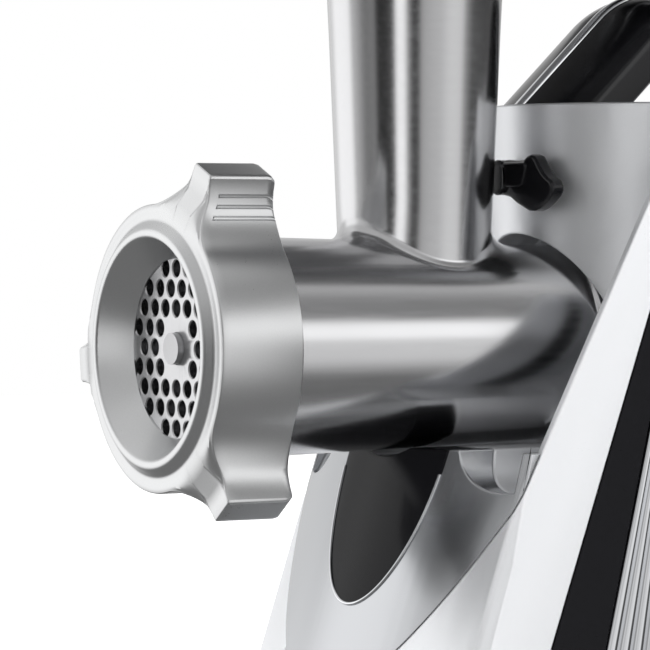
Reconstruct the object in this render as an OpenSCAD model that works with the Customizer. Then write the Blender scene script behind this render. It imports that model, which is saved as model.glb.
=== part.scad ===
// Electric meat grinder. Millimetres, +Z up, outlet towards -Y, on the table at Z = 0.
// Everything is drawn about the barrel's axis, with Y = 0 at the socket's face, then set on the table.

/* [Mincing head] */
// Diameter of the perforated disc (a number 8 head)
disc_d = 62; // [61:0.5:63]
// Length of barrel from the socket to the back of the screw ring
barrel_len = 123.3; // [115:1:130]
// Depth of the screw ring
ring_depth = 28.3; // [27:0.5:30]
// Diameter of the neck at its foot
neck_d = 50; // [49:0.5:51]
// Height of the neck's mouth above the barrel's axis
neck_top = 118; // [116:1:124]

/* [Body] */
// Height of the barrel's axis above the table
axis_h = 160; // [158:1:175]
// Width of the body at its base
body_w = 144; // [142:1:150]
// Distance from the socket's face to the back of the body
body_back = 180; // [180:1:190]
// Thickness of the moulded shells
shell = 3; // [2.5:0.5:3]

/* [Tray] */
// Length of the tray, along the barrel
tray_len = 186; // [170:2:188]
// Width of the tray
tray_w = 140; // [120:5:160]

/* [Output] */
// Which piece to draw

/* [Hidden] */

$fn = 72;
eps = 0.01;
gap = 0.3;      // seam between two fixed mouldings
run = 0.06;     // radial clearance of a running fit

silver = [0.78, 0.79, 0.80];
steel = [0.70, 0.71, 0.73];
bright = [0.85, 0.86, 0.88];
black = [0.05, 0.05, 0.06];
rubber_black = [0.10, 0.10, 0.10];
cast_grey = [0.62, 0.63, 0.64];
nylon = [0.90, 0.89, 0.84];
copper = [0.72, 0.40, 0.20];
board_green = [0.10, 0.35, 0.20];
brass = [0.75, 0.62, 0.30];

// Mincing head, along Y
ring_front = -(barrel_len + ring_depth);
ring_r = 45;
mouth_r = 35;
lobe_r = 60.6;
lobe_tip = 5.5;
flank_r = 24;
lobe_setback = 4.4;
lip = 2.5;
flange = 8;
disc_t = 6;
disc_r = disc_d / 2;
disc_front = ring_front + flange;
disc_back = disc_front + disc_t;
thread_r = disc_r + 2.5;
bore_r = disc_r - 4;
barrel_front = disc_front + 2;
knife_t = 7.5;
auger_front = disc_back + knife_t + 0.1;
spigot_r = 27;
spigot_len = 24;
drive = 12;
hub_pin_r = 5;
lobe_angles = [23.5, 143.5, 263.5];
groove_at = [48.5, 51.5, 54.5];
groove_deep = 0.7;

// Neck
neck_x = -3.5;               // set towards the side where the screw draws the meat in
neck_y = -54.5;
neck_foot_r = neck_d / 2;
neck_mouth_r = neck_foot_r + 3.5;
feed_r = neck_foot_r - 2.8;
spout_r = neck_mouth_r - 3.5;

// Body: side view in (Y, Z) about the barrel's axis
body_top = 78;
foot_h = 6;
body_floor = foot_h - axis_h;
nose_front = -18;
nose_a = 56;
nose_b = 65;
trough_r = 35.6;
fan_y = 20;                 // the bands and ridges fan out from a point on the top edge
front_fan_y = 12;           // and the panels' front edges from one further forward
front_slope = 0.56;
band_slope_a = 0.40;
band_slope_b = 0.28;
ridge_slope = 0.16;
chin_top = -32;
chin_front = -68;
chin_tilt = 18.5;
chin_half_w = 30;           // low down the chin is this wide
bay_back = 23;              // the nose stands clear of the side walls as far back as this
hollow_r = 23;              // scooped hollows in the chin's shelf, either side of the barrel
hollow_x = 58;
hollow_z = -21.5;
panel_top = 62;
top_half_w = 58;
plan_half_w = 74;

// Locking knob
knob_z = 54;
knob_front = -25.4;
knob_hub_r = 5.75;
lock_shaft_r = 4;
latch_y = 8;
latch_t = 6;
latch_len = 30;

// Gear train: teeth, module and face of each pair
m3 = 1.5;
m2 = 1.25;
m1 = 1;
z_out = 42;
z_p2 = 12;
z_g2 = 48;
z_p1 = 12;
z_g1 = 60;
z_p0 = 12;
axis_2 = polar(m3 * (z_out + z_p2) / 2, -33);
axis_1 = axis_2 + polar(m2 * (z_g2 + z_p1) / 2, 50);
axis_0 = axis_1 + polar(m1 * (z_g1 + z_p0) / 2, -10);
case_front = 27;
case_wall = 3;
case_back = 72;
cover_t = 5;
out_y = 34;
out_t = 12;
g2_y = 50;
g2_t = 8;
g1_y = 62;
g1_t = 6;

// Motor
fan_start = 79.5;
stack_y = 95;
stack_len = 40;
stack_half = 38;
rotor_r = 22;
comm_y = 145;
bracket_y = 160;
motor_shaft_r = 4;

gland_len = 8;
back_y = body_back + gland_len;
mid_y = (ring_front - lip + back_y) / 2;

// (X, Z) offset at a radius, turned from straight down towards +X
function polar(r, a) = [r * sin(a), -r * cos(a)];

// Y of the panels' front edge at a height
function front_y(z) = front_fan_y - front_slope * (body_top - z);

// Y of a band's or ridge's edge that starts at the fan point and falls forwards with this slope
function edge_y(slope, z) = fan_y - slope * (body_top - z);

module placed() {
    translate([0, -mid_y, axis_h]) children();
}

// A child drawn upwards along Z is laid along +Y from y, about the point at = (X, Z)
module along_y(y, at = [0, 0]) {
    translate([at[0], y, at[1]]) rotate([-90, 0, 0]) children();
}

// A flat (X, Z) outline is given thickness t along +Y from y
module plate_y(y, t) {
    translate([0, y + t, 0]) rotate([90, 0, 0]) linear_extrude(t) children();
}

// A flat (Y, Z) outline is given the width w along X, centred
module plate_x(w) {
    rotate([90, 0, 90]) linear_extrude(w, center = true) children();
}

module rounded(size, r) {
    square([size[0] - 2 * r, size[1]], center = true);
    square([size[0], size[1] - 2 * r], center = true);
    for (x = [-1, 1], y = [-1, 1])
        translate([x * (size[0] / 2 - r), y * (size[1] / 2 - r)]) circle(r);
}

module tube(r, hole, h) {
    difference() {
        cylinder(r = r, h = h);
        translate([0, 0, -1]) cylinder(r = hole, h = h + 2);
    }
}

// ---------- mincing head ----------

module barrel_outside() {
    along_y(barrel_front) rotate_extrude() polygon([
        [0, 0], [thread_r - 0.6, 0], [thread_r, 0.6], [thread_r, -barrel_front - barrel_len + 0.5],
        [thread_r + 1, -barrel_front - barrel_len + 0.5], [thread_r + 1.4, -barrel_front - barrel_len + 3],
        [31.8, -barrel_front - 6], [33.2, -barrel_front - 5], [33.2, -barrel_front - 0.5],
        [spigot_r - run, -barrel_front - 0.5], [spigot_r - run, -barrel_front + spigot_len], [0, -barrel_front + spigot_len]]);
    translate([neck_x, neck_y, 0]) {
        cylinder(r1 = neck_foot_r - 1.5, r2 = neck_mouth_r, h = neck_top);
        translate([0, 0, 27]) cylinder(r1 = neck_foot_r + 3, r2 = neck_foot_r, h = 9);
        translate([0, 0, neck_top - 4]) cylinder(r = neck_mouth_r + 1.2, h = 4);
    }
}

module barrel() color(bright) placed() difference() {
    barrel_outside();
    along_y(barrel_front - 1) cylinder(r = disc_r + 0.08, h = disc_back - barrel_front + 1);
    along_y(disc_back - eps) cylinder(r = bore_r, h = -disc_back - 8);
    along_y(-10) cylinder(r = 11, h = 20);
    along_y(4) cylinder(r = 20, h = spigot_len);
    translate([neck_x, neck_y, 0]) cylinder(r = feed_r, h = neck_top + 1);
    translate([neck_x, neck_y, neck_top - 18]) cylinder(r = spout_r, h = 19);
    along_y(latch_y - 1) difference() {
        cylinder(r = spigot_r + 1, h = latch_t + 2);
        translate([0, 0, -1]) cylinder(r = 23.2, h = latch_t + 4);
    }
    // key slot that stops the disc turning
    translate([-1.6, barrel_front - 1, -disc_r - 1.6]) cube([3.2, disc_back - barrel_front + 1, 3]);
}

module barrel_bush() color(nylon) placed() along_y(-8) tube(11, 8 + run, 12);

// The flight is an oval set off centre, twisted along the shaft
module flight(len, turns, r) {
    linear_extrude(len, twist = 360 * turns, slices = 14 * turns, convexity = 6)
        translate([r * 0.36, 0]) scale([0.64, 0.42]) circle(r, $fn = 28);
}

module auger() color(cast_grey) placed() {
    along_y(auger_front) {
        flight(-auger_front - 10, 4, bore_r - 1.4);
        cylinder(r = 9.5, h = -auger_front - 10);
    }
    along_y(auger_front - knife_t) linear_extrude(knife_t + 1) square(9.6, center = true);
    along_y(disc_front - 2) cylinder(r = hub_pin_r - run, h = auger_front - knife_t - disc_front + 2 + eps);
    along_y(-10 - eps) cylinder(r = 8, h = 18);
    along_y(8 - 2 * eps) linear_extrude(23) square(drive, center = true);
}

module knife_blade() {
    polygon([[0, -5.5], [12, -5.5], [bore_r - 1.5, -2.5], [bore_r - 1.5, 2.2], [17, 5.2], [0, 6.2]]);
}

module knife() color(bright) placed() along_y(auger_front - knife_t) difference() {
    union() {
        linear_extrude(knife_t - 0.1) for (a = [0:90:270]) rotate(a) knife_blade();
        cylinder(r = 11, h = knife_t - 0.1);
    }
    translate([0, 0, -1]) linear_extrude(knife_t + 2) square(9.7, center = true);
}

hole_step = 7.2;
hole_r = 2.6;

module disc() color(bright) placed() along_y(disc_front) difference() {
    union() {
        cylinder(r = disc_r, h = disc_t);
        translate([-1.4, disc_r - 1, 2.2]) cube([2.8, 2.4, disc_t - 2.2]);
    }
    translate([0, 0, -1]) cylinder(r = hub_pin_r, h = disc_t + 2);
    for (i = [-4:4], j = [-4:4]) {
        x = (i + j / 2) * hole_step;
        y = j * hole_step * sin(60);
        if (norm([x, y]) > 8.5 && norm([x, y]) < disc_r - 4.5)
            translate([x, y, -1]) cylinder(r = hole_r, h = disc_t + 2, $fn = 20);
    }
}

// Each hollow flank of a grip lobe is an arc that touches the ring's own circle
flank_x = lobe_tip + flank_r;
flank_y = sqrt(pow(ring_r + flank_r, 2) - flank_x * flank_x);
lobe_root = flank_y * ring_r / (ring_r + flank_r);

// Half width of a lobe at a distance from the axis
function lobe_half(y) = flank_x - sqrt(flank_r * flank_r - pow(flank_y - y, 2));

// Grip lobe with a flat tip, outwards along +Y
module ring_lobe() {
    flank = concat([[lobe_half(lobe_root) - 1, lobe_root - 2]],
        [for (s = [0:0.1:1]) let (y = lobe_root + s * (lobe_r - lobe_root)) [lobe_half(y), y]]);
    polygon(concat(flank, [for (i = [len(flank) - 1:-1:0]) [-flank[i][0], flank[i][1]]]));
}

// The lobes stand round the ring clockwise as seen from the front
module at_lobes() {
    for (a = lobe_angles) rotate([0, 0, 180 + a]) children();
}

module ring() color(silver) placed() along_y(ring_front) difference() {
    union() {
        rotate_extrude($fn = 120) polygon([
            [mouth_r - 7, flange - 0.05], [mouth_r, -lip], [mouth_r + 2, -lip], [mouth_r + 4.5, 0],
            [ring_r - 1, 0], [ring_r, 1], [ring_r, ring_depth - 1], [ring_r - 1, ring_depth],
            [thread_r + run, ring_depth], [thread_r + run, flange - 0.05]]);
        at_lobes() translate([0, 0, lobe_setback]) linear_extrude(ring_depth - lobe_setback - 0.5) ring_lobe();
    }
    // grip grooves along the flank that a thumb pushes
    at_lobes() for (y = groove_at)
        translate([groove_deep - lobe_half(y) - 8, y - 0.5, lobe_setback + 4])
            cube([8, 1, ring_depth]);
}

// ---------- tray and pusher ----------

tray_y = -56;
tray_z = neck_top + 2;
tray_deep = 24;

module tray() color(bright) placed() difference() {
    union() {
        translate([0, tray_y, tray_z]) linear_extrude(tray_deep) rounded([tray_w, tray_len], 34);
        translate([0, tray_y, tray_z + tray_deep - 2]) linear_extrude(2) rounded([tray_w + 8, tray_len + 8], 38);
        translate([neck_x, neck_y, neck_top - 16]) cylinder(r = spout_r - run, h = 20);
        translate([neck_x, neck_y, neck_top + 0.1]) cylinder(r = neck_mouth_r, h = 4);
    }
    translate([0, tray_y, tray_z + 2]) linear_extrude(tray_deep) rounded([tray_w - 4, tray_len - 4], 32);
    translate([neck_x, neck_y, neck_top - 17]) cylinder(r = feed_r, h = 30);
}

push_r = feed_r - 0.7;
push_foot = 38;
push_top = 176;

module pusher() color(black) placed() translate([neck_x, neck_y, 0]) difference() {
    union() {
        translate([0, 0, push_foot]) cylinder(r = push_r, h = push_top - push_foot - 12);
        translate([0, 0, tray_z + 2.3]) cylinder(r = push_r + 8, h = 3);
        translate([0, 0, push_top - 12]) rotate_extrude() polygon([
            [0, 0], [push_r, 0], [push_r + 5, 4], [push_r + 5, 9], [push_r + 2, 12], [0, 12]]);
    }
    translate([0, 0, push_foot + 3]) cylinder(r = push_r - 3, h = push_top);
}

// ---------- lock ----------

module lock_knob() color(black) placed() difference() {
    union() {
        along_y(knob_front, [0, knob_z]) cylinder(r = knob_hub_r, h = -18.5 - knob_front);
        plate_y(knob_front + 1, 5.4) translate([0, knob_z]) wing();
    }
    along_y(knob_front + 3, [0, knob_z]) cylinder(r = lock_shaft_r, h = 10);
}

// The wing, seen from the front of the machine, its blade to +X and falling at the tip
module wing() {
    polygon(concat(
        [[0, 5.2], [4, 6], [14, 5.6], [18, 7.2], [22, 4.8], [27, 0.5]],
        [for (a = [60:-30:-90]) [27 + 4 * cos(a), -3.5 + 4 * sin(a)]],
        [[20, -11], [14, -10.5], [6, -7.5], [0, -5.5]]));
}

module lock_shaft() color(steel) placed() {
    along_y(knob_front + 3, [0, knob_z]) cylinder(r = lock_shaft_r, h = 26 - knob_front - 3);
    plate_y(latch_y, latch_t) translate([0, knob_z]) {
        circle(8);
        translate([-latch_len + 5, -5]) square([latch_len - 5, 10]);
        translate([-latch_len + 5, 0]) circle(5);
    }
}

module socket_collar() color(bright) placed() along_y(0) difference() {
    rotate_extrude() polygon([[spigot_r + run, 0], [33, 0], [34, 1], [34, 5], [spigot_r + run, 5]]);
    translate([0, 0, -1]) cylinder(r = spigot_r + run, h = 8);
}

// ---------- body ----------

// Half width of the body at a height, inset t
function half_w(z, t) = top_half_w + (body_w / 2 - top_half_w) * (body_top - z) / (body_top - body_floor) - t;

module front_view(t) {
    r = 14 - t;
    z1 = body_top - t;
    z0 = body_floor - (t > 0 ? 1 : 0);
    w1 = half_w(z1, t);
    w0 = half_w(z0, t);
    polygon(concat([[-w0, z0], [w0, z0]],
        [for (a = [5:17:90]) [w1 - r + r * cos(a), z1 - r + r * sin(a)]],
        [for (a = [90:17:175]) [-w1 + r + r * cos(a), z1 - r + r * sin(a)]]));
}

module nose_plan(t) {
    translate([0, nose_front + nose_b]) scale([(nose_a - t) / (nose_b - t), 1]) circle(nose_b - t, $fn = 96);
    translate([-nose_a + t, nose_front + nose_b]) square([2 * (nose_a - t), body_back - nose_front - nose_b - t]);
    translate([-90, 70]) square([180, body_back - 70 - t]);
}

// Plan of the lower body: a shallow bow in front, round corners, straight sides
bow_r = 160;

module bow_plan(t) {
    intersection() {
        translate([0, bow_r]) circle(bow_r - t, $fn = 240);
        translate([0, 140]) rounded([2 * (plan_half_w - t), 2 * (140 - t)], 40 - t);
    }
}

// Plan of the whole body behind the bow, with round back corners
module back_plan(t) {
    translate([0, body_back - 200]) rounded([2 * (plan_half_w - t), 2 * (200 - t)], 30 - t);
}

// The chin: a tilted bow with a level shelf on top
module lower_form(t) intersection() {
    translate([-100, -130, body_floor - 1]) cube([200, 400, chin_top - t - body_floor + 1]);
    translate([0, chin_front, chin_top]) rotate([-chin_tilt, 0, 0])
        translate([0, 0, -200]) linear_extrude(400) bow_plan(t);
}

// The full-width body from y back, up to a height
module block(y, top, t) {
    translate([-90, y + t, body_floor - 1]) cube([180, body_back - y - 2 * t, top - t - body_floor + 1]);
}

// Thin side walls in front of the block, whose front edges fan out from the top
module cheeks() difference() {
    plate_x(180) polygon([
        [front_y(panel_top), panel_top], [front_y(chin_top - 1), chin_top - 1],
        [bay_back + 1, chin_top - 1], [bay_back + 1, panel_top]]);
    plate_y(-160, 300) front_view(shell);
}

module body_form(t) difference() {
    intersection() {
        union() {
            translate([0, 0, chin_top - shell - 1]) linear_extrude(body_top - chin_top + shell + 1) nose_plan(t);
            lower_form(t);
            block(bay_back, panel_top + 4, t);
            block(75, body_top + t, t);
            if (t == 0) cheeks();
        }
        plate_y(-160, 160 + body_back - t) front_view(t);
        translate([0, 0, body_floor - 1]) linear_extrude(body_top - body_floor + 1) back_plan(t);
    }
    along_y(-160) cylinder(r = trough_r + t, h = 160 + t);
    hollows(t);
}

// They stop at the inner faces of the side walls
module hollows(t) intersection() {
    for (s = [-1, 1]) along_y(-160, [s * hollow_x, hollow_z]) cylinder(r = hollow_r + t, h = 150 + t);
    plate_y(-161, 300) front_view(shell - t);
}

module body_shell() difference() {
    body_form(0);
    body_form(shell);
    along_y(-5) cylinder(r = 34 + gap, h = 20);
    along_y(-30, [0, knob_z]) cylinder(r = lock_shaft_r + gap, h = 40);
}

// A slice of the side view below the panels' top, given the Y of its two edges at the bottom and top
module slice(front, back) {
    bottom = body_floor - 2;
    plate_x(200) polygon([
        [front[1], panel_top], [front[0], bottom], [back[0] - gap, bottom], [back[1] - gap, panel_top]]);
}

function front_line() = [front_y(body_floor - 2), front_y(panel_top)];
function fan_line(slope) = [edge_y(slope, body_floor - 2), edge_y(slope, panel_top)];

module front_region() {
    plate_x(200) polygon([
        [front_y(body_top + 5) - gap, body_top + 5], [-160, body_top + 5],
        [-160, body_floor - 2], [front_y(body_floor - 2) - gap, body_floor - 2]]);
}

module rear_region() {
    bottom = body_floor - 2;
    plate_x(200) polygon([
        [edge_y(ridge_slope, panel_top), panel_top], [edge_y(ridge_slope, bottom), bottom],
        [body_back + 5, bottom], [body_back + 5, panel_top]]);
}

// The nose takes everything between the side walls behind their front edges
module bay() intersection() {
    bottom = hollow_z - hollow_r - shell - 1;
    back = bay_back + shell;
    plate_x(200) polygon([
        [front_y(bottom), bottom], [front_y(body_top), body_top + 5], [back, body_top + 5], [back, bottom]]);
    plate_y(-160, 300) front_view(shell + gap);
}

module nose_shell() color(silver) placed() intersection() {
    body_shell();
    union() {
        intersection() {
            translate([-100, -160, chin_top + 0.1]) cube([200, 160 + bay_back + shell, 200]);
            plate_y(-160, 300) front_view(shell + gap);
        }
        bay();
        translate([-100, -160, panel_top + gap]) cube([200, 400, 50]);
    }
}

module chin_region() {
    intersection() {
        front_region();
        translate([-100, -160, body_floor - 2]) cube([200, 200, chin_top - body_floor + 2 + eps]);
    }
    translate([-chin_half_w + gap / 2, -160, body_floor - 2]) cube([2 * chin_half_w - gap, 180, 90]);
}

module chin_panel() color(silver) placed() difference() {
    intersection() {
        body_shell();
        chin_region();
    }
    bay();
    leaf_cut(0.2);
}

// The inlay is the lower half of an oval
leaf_x = 5;
leaf_half_w = 28;
leaf_drop = 50;

module leaf_outline(grow) {
    translate([leaf_x, chin_top]) scale([(leaf_half_w + grow) / (leaf_drop + grow), 1])
        circle(leaf_drop + grow, $fn = 120);
}

module leaf_cut(grow) {
    plate_y(-130, 140) leaf_outline(grow);
}

module leaf_inlay() color(black) placed() difference() {
    intersection() {
        body_shell();
        front_region();
        translate([-100, -160, -100]) cube([200, 200, 100 + chin_top - gap]);
        leaf_cut(0);
    }
    bay();
}

module fan_panel(front, back) difference() {
    intersection() {
        body_shell();
        slice(front, back);
        translate([chin_half_w + gap / 2, -200, -200]) cube([150, 500, 400]);
    }
    bay();
}

module side_panel() fan_panel(front_line(), fan_line(band_slope_a));
module band() fan_panel(fan_line(band_slope_a), fan_line(band_slope_b));
module ridge_trim() fan_panel(fan_line(band_slope_b), fan_line(ridge_slope));

module side_panel_right() color(silver) placed() side_panel();
module side_panel_left() color(silver) placed() mirror([1, 0, 0]) side_panel();
module band_right() color(black) placed() band();
module band_left() color(black) placed() mirror([1, 0, 0]) band();
module ridge_trim_right() color(bright) placed() ridge_trim();
module ridge_trim_left() color(bright) placed() mirror([1, 0, 0]) ridge_trim();

rocker_z = -20;
rocker_w = 26;
rocker_h = 20;
gland_z = -120;
gland_r = 7;

module rear_shell() color(silver) placed() difference() {
    intersection() {
        body_shell();
        rear_region();
    }
    // vents, switch and gland openings in the back
    for (i = [-6:6]) translate([i * 7 - 1.5, body_back - 10, -100]) cube([3, 20, 60]);
    translate([-rocker_w / 2 - gap, body_back - 10, rocker_z - rocker_h / 2 - gap])
        cube([rocker_w + 2 * gap, 20, rocker_h + 2 * gap]);
    along_y(body_back - 10, [0, gland_z]) cylinder(r = gland_r - 1, h = 20);
    bay();
}

base_half = body_w / 2 - 6;
base_front = -98;
base_back = body_back - 6;

module base_outline() {
    translate([0, (base_front + base_back) / 2]) rounded([2 * base_half, base_back - base_front], 30);
}

foot_at = [[-46, -70], [46, -70], [-46, 146], [46, 146]];

module base_plate() color(black) placed() difference() {
    translate([0, 0, body_floor - 3]) linear_extrude(2.9) base_outline();
    for (p = foot_at) translate([p[0], p[1], body_floor - 5]) cylinder(r = 5, h = 10);
    for (x = [-40:10:40]) translate([x - 1.5, 60, body_floor - 5]) cube([3, 50, 10]);
}

module feet() color(rubber_black) placed() for (p = foot_at) translate([p[0], p[1], -axis_h]) difference() {
    union() {
        cylinder(r1 = 10, r2 = 11, h = 3);
        cylinder(r = 5, h = 5.9);
    }
    translate([0, 0, -1]) cylinder(r = 3.2, h = 3);
}

module base_screws() color(steel) placed() for (p = foot_at) translate([p[0], p[1] + 20, body_floor - 3.9]) difference() {
    cylinder(r = 4, h = 0.9);
    translate([-3, -0.5, -1]) cube([6, 1, 1.4]);
}

// ---------- carrying handle ----------

handle_w = 48;
handle_top = 116;
handle_front = -17.5;
handle_back = 140;
grip_t = 14;                // depth of the level grip
foot_t = 21;                // depth of the sloping front leg

// Side view of the strap: 45-degree riser, level grip, steep back leg
module handle_side(t) {
    rise = handle_top - body_top;
    r = 16;
    polygon(concat(
        [[handle_front + 1.41 * t, body_top]],
        [for (a = [135:-15:90]) [handle_front + rise + 10 + r * cos(a), handle_top - r - t + r * sin(a)]],
        [for (a = [90:-15:0]) [handle_back - r - t + r * cos(a), handle_top - r - t + r * sin(a)]],
        [[handle_back - t, body_top]]));
}

// The outer face falls away in steps on both sides of a bright strip along its crest
strip_w = 5;
layers = 5;
layer_t = 2;

module handle_gap() {
    inner_front = handle_front + 1.41 * foot_t;
    polygon([
        [inner_front, body_top - 1], [inner_front, body_top],
        [inner_front + handle_top - grip_t - body_top, handle_top - grip_t],
        [handle_back - grip_t - 4, handle_top - grip_t], [handle_back - grip_t, handle_top - grip_t - 4],
        [handle_back - grip_t, body_top - 1]]);
}

module handle() color(black) placed() difference() {
    for (k = [0:layers]) plate_x(strip_w + (handle_w - strip_w) * k / layers) handle_side(1 + layer_t * k);
    plate_x(handle_w + 2) handle_gap();
}

module handle_trim() color(bright) placed() plate_x(strip_w) difference() {
    handle_side(0);
    handle_side(1);
}

// ---------- gears ----------

// Turn that sets this gear's teeth in the gaps of a mate, given the direction from the mate to
// this gear as an angle from straight down towards +X
function mesh_phase(teeth, mate_teeth, a) = 270 - a - 360 / teeth * (0.5 - (90 - a) * mate_teeth / 360);

// A spur gear outline: trapezoid teeth with ample backlash on a root circle
module gear_outline(teeth, m, phase = 0) {
    pitch_r = teeth * m / 2;
    root_r = pitch_r - 1.2 * m;
    tip_r = pitch_r + 0.75 * m;
    half_root = 0.27 * PI * m / root_r * 180 / PI;
    half_pitch = 0.19 * PI * m / pitch_r * 180 / PI;
    half_tip = 0.09 * PI * m / tip_r * 180 / PI;
    polygon([for (i = [0:teeth - 1], k = [0:5]) let (
        a = phase + 360 * i / teeth + [-half_root, -half_pitch, -half_tip, half_tip, half_pitch, half_root][k],
        r = [root_r, pitch_r, tip_r, tip_r, pitch_r, root_r][k]) [r * cos(a), r * sin(a)]]);
}

module output_gear() color(steel) placed() difference() {
    union() {
        along_y(out_y) linear_extrude(out_t) gear_outline(z_out, m3);
        along_y(18) cylinder(r = 12, h = out_y - 18 + eps);
        along_y(out_y + out_t - eps) cylinder(r = 6, h = case_back + cover_t - 0.5 - out_y - out_t);
    }
    along_y(17) linear_extrude(16) square(drive + 0.3, center = true);
}

module gear_2() color(nylon) placed() along_y(g2_y, axis_2) difference() {
    linear_extrude(g2_t) gear_outline(z_g2, m2);
    translate([0, 0, -1]) cylinder(r = 6, h = g2_t + 2);
    for (a = [0:60:300]) rotate([0, 0, a]) translate([18, 0, -1]) cylinder(r = 6, h = g2_t + 2);
}

module pinion_2() color(steel) placed() {
    along_y(out_y - 1, axis_2) linear_extrude(out_t + 2) gear_outline(z_p2, m3, mesh_phase(z_p2, z_out, -33));
    along_y(case_front + 0.5, axis_2) cylinder(r = 5, h = out_y - case_front - 1.5 + eps);
    along_y(out_y + out_t + 1 - eps, axis_2) cylinder(r = 6, h = g2_y + g2_t - out_y - out_t - 1 + eps);
    along_y(g2_y + g2_t - eps, axis_2) cylinder(r = 5, h = case_back + cover_t - 0.5 - g2_y - g2_t);
}

module gear_1() color(nylon) placed() along_y(g1_y, axis_1) difference() {
    linear_extrude(g1_t) gear_outline(z_g1, m1);
    translate([0, 0, -1]) cylinder(r = 5, h = g1_t + 2);
    for (a = [0:60:300]) rotate([0, 0, a]) translate([18, 0, -1]) cylinder(r = 6, h = g1_t + 2);
}

module pinion_1() color(steel) placed() {
    along_y(g2_y - 1, axis_1) linear_extrude(g2_t + 2) gear_outline(z_p1, m2, mesh_phase(z_p1, z_g2, 50));
    along_y(case_front + 0.5, axis_1) cylinder(r = 4.5, h = g2_y - case_front - 1.5 + eps);
    along_y(g2_y + g2_t + 1 - eps, axis_1) cylinder(r = 5, h = g1_y + g1_t - g2_y - g2_t - 1 + eps);
    along_y(g1_y + g1_t - eps, axis_1) cylinder(r = 4.5, h = case_back + cover_t - 0.5 - g1_y - g1_t);
}

module case_outline(t) {
    circle(37 - t);
    translate(axis_2) circle(35 - t);
    translate(axis_1) circle(35 - t);
    translate(axis_0) circle(16 - t);
}

module gear_case() color(cast_grey) placed() difference() {
    union() {
        plate_y(case_front, case_back - case_front) case_outline(0);
        along_y(5) cylinder(r = 33, h = case_front - 5 + eps);
        along_y(18, [0, knob_z]) cylinder(r = 9, h = case_front + 3 - 18);
        translate([-6, 18, 30]) cube([12, case_front + 3 - 18, knob_z - 30]);
    }
    plate_y(case_front + case_wall, case_back) case_outline(case_wall);
    along_y(4) cylinder(r = spigot_r, h = case_front - 4 - 1);
    along_y(case_front - 5) cylinder(r = 15, h = 12);
    for (p = [axis_2, axis_1]) along_y(case_front - 1, p) cylinder(r = 8, h = 6);
    along_y(latch_y - 0.5, [0, knob_z]) cylinder(r = latch_len + 1.5, h = latch_t + 1);
    along_y(4, [0, knob_z]) cylinder(r = lock_shaft_r + gap, h = 40);
}

post_at = [for (x = [-1, 1], z = [-1, 1]) [axis_0[0] + x * 32, axis_0[1] + z * 32]];

module gear_cover() color(cast_grey) placed() difference() {
    union() {
        plate_y(case_back + 0.01, cover_t) {
            case_outline(0);
            translate(axis_0) rounded([2 * stack_half, 2 * stack_half], 8);
        }
        for (p = post_at) along_y(case_back + 1, p) cylinder(r = 4, h = stack_y - case_back - 1 - 0.01);
    }
    along_y(case_back - 1) cylinder(r = 9, h = cover_t + 2);
    for (p = [axis_2, axis_1, axis_0]) along_y(case_back - 1, p) cylinder(r = 8, h = cover_t + 2);
}

module output_bushes() color(brass) placed() {
    along_y(case_front) tube(15, 12 + run, case_wall + 2);
    along_y(case_back) tube(9, 6 + run, cover_t);
}

module idler_bushes() color(brass) placed() {
    for (y = [case_front, case_back]) {
        t = y == case_front ? case_wall : cover_t;
        along_y(y, axis_2) tube(8, 5 + run, t);
        along_y(y, axis_1) tube(8, 4.5 + run, t);
    }
}

module cover_screws() color(steel) placed() for (p = [[24, 23], [-24, 23], [axis_2[0] - 22, axis_2[1] - 23]])
    along_y(case_back + cover_t + 0.02, p) difference() {
        cylinder(r = 3.5, h = 2.5);
        translate([-0.5, -3, 1.5]) cube([1, 6, 2]);
    }

// ---------- motor ----------

module stator_core() color(steel) placed() along_y(stack_y, axis_0) difference() {
    linear_extrude(stack_len) rounded([2 * stack_half, 2 * stack_half], 8);
    translate([0, 0, -1]) cylinder(r = rotor_r + 0.6, h = stack_len + 2);
    for (x = [-1, 1]) translate([x * 24, 0, -1]) linear_extrude(stack_len + 2) rounded([9, 34], 3);
}

module stator_coils() color(copper) placed() for (y = [stack_y - 8.5, stack_y + stack_len + 0.01])
    along_y(y, axis_0) tube(33, rotor_r + 2, 8.4);

module rotor_core() color(steel) placed() along_y(stack_y, axis_0) difference() {
    cylinder(r = rotor_r, h = stack_len);
    translate([0, 0, -1]) cylinder(r = motor_shaft_r, h = stack_len + 2);
    for (a = [0:30:330]) rotate([0, 0, a]) translate([rotor_r - 4, -1, -1]) cube([6, 2, stack_len + 2]);
}

module rotor_coils() color(copper) placed() for (y = [stack_y - 8, stack_y + stack_len])
    along_y(y, axis_0) tube(17, motor_shaft_r, 8);

module rotor_shaft() color(steel) placed() {
    along_y(g1_y - 1, axis_0) linear_extrude(g1_t + 2) gear_outline(z_p0, m1, mesh_phase(z_p0, z_g1, -10));
    along_y(g1_y + g1_t + 1 - eps, axis_0) cylinder(r = motor_shaft_r, h = 170 - g1_y - g1_t - 1);
}

module commutator() color(copper) placed() along_y(comm_y, axis_0) difference() {
    cylinder(r = 11, h = 12);
    translate([0, 0, -1]) cylinder(r = motor_shaft_r, h = 14);
    for (a = [0:30:330]) rotate([0, 0, a]) translate([9.5, -0.4, -1]) cube([3, 0.8, 14]);
}

module fan() color(black) placed() along_y(fan_start, axis_0) difference() {
    union() {
        cylinder(r = 32, h = 1.5);
        cylinder(r = 8, h = 5);
        for (a = [0:40:320]) rotate([0, 0, a]) translate([6, -0.8, 1]) cube([24, 1.6, 3.6]);
    }
    translate([0, 0, -1]) cylinder(r = motor_shaft_r, h = 8);
}

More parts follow.
